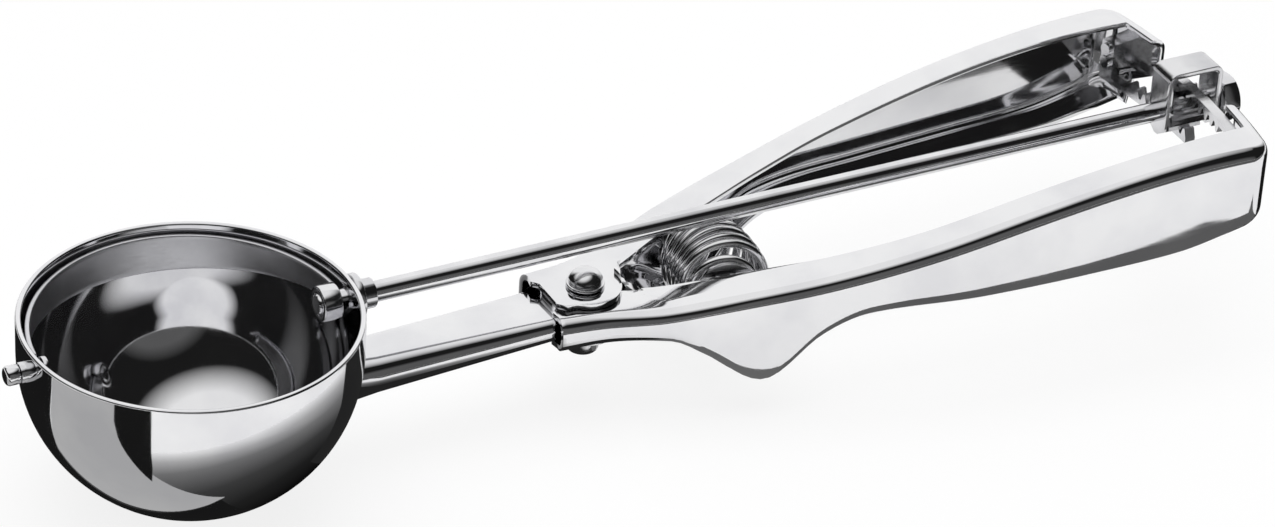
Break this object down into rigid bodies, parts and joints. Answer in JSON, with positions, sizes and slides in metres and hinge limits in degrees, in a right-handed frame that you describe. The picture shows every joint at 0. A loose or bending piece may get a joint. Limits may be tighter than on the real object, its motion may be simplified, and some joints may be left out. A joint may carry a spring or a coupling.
{
  "type": "lever ice cream scoop",
  "caption": "Lever ice cream scoop: sprung squeeze handles drive toothed racks, a pinion and a long shaft that sweep a scraper blade round the inside of a hemispherical bowl.",
  "frame": {"origin": "centre of the bowl's mouth, in the plane of the rim", "axes": "+Z out of the bowl's mouth, +X from the bowl along the shaft to the handle ends, Y = 0 midway between the handles"},
  "size_m": [0.2376, 0.058, 0.0402],
  "materials": {
    "bowl_steel": "mirror polished stainless steel",
    "body_steel": "mirror polished stainless steel",
    "shaft_steel": "polished stainless steel",
    "fitting_steel": "bright turned steel",
    "plate_steel": "satin stamped steel",
    "blade_steel": "satin stainless strip",
    "spring_steel": "bright drawn spring wire"
  },
  "bodies": {
    "scoop_frame": {"bowl": "bowl_steel", "neck": "body_steel", "shaft_bush": "fitting_steel", "pin_bush": "fitting_steel", "pivot_rivet": "fitting_steel", "pivot_washer": "fitting_steel", "rack_bracket": "plate_steel", "handle_spring": "spring_steel"},
    "scraper": {"shaft": "shaft_steel", "scraper_blade": "blade_steel", "scraper_hub": "fitting_steel", "scraper_pin": "shaft_steel", "pinion": "plate_steel", "end_washer": "plate_steel", "end_nut": "fitting_steel"},
    "front_grip": {"front_handle": "body_steel", "front_rack": "plate_steel", "front_rack_rivets": "fitting_steel", "front_spring_peg": "fitting_steel"},
    "back_grip": {"back_handle": "body_steel", "back_rack": "plate_steel", "back_rack_rivets": "fitting_steel", "back_spring_peg": "fitting_steel"}
  },
  "joints": [
    {"name": "scraper_turn", "type": "hinge", "parent": "scoop_frame", "child": "scraper", "pos_m": [0, 0, -0.004], "axis": [-1, 0, 0], "range_deg": [0, 158]},
    {"name": "front_handle_swing", "type": "hinge", "parent": "scoop_frame", "child": "front_grip", "pos_m": [0.0735, 0, 0], "axis": [0, 0, 1], "range_deg": [0, 4.61], "stiffness_Nm_per_rad": 3, "springref_deg": -14.32, "deforming": ["handle_spring"]},
    {"name": "back_handle_swing", "type": "hinge", "parent": "scoop_frame", "child": "back_grip", "pos_m": [0.0735, 0, 0], "axis": [0, 0, -1], "range_deg": [0, 4.61], "stiffness_Nm_per_rad": 3, "springref_deg": -14.32, "deforming": ["handle_spring"]}
  ],
  "couplings": [
    {"joint": "front_handle_swing", "follows": "scraper_turn", "ratio": 0.029167},
    {"joint": "back_handle_swing", "follows": "scraper_turn", "ratio": 0.029167}
  ]
}
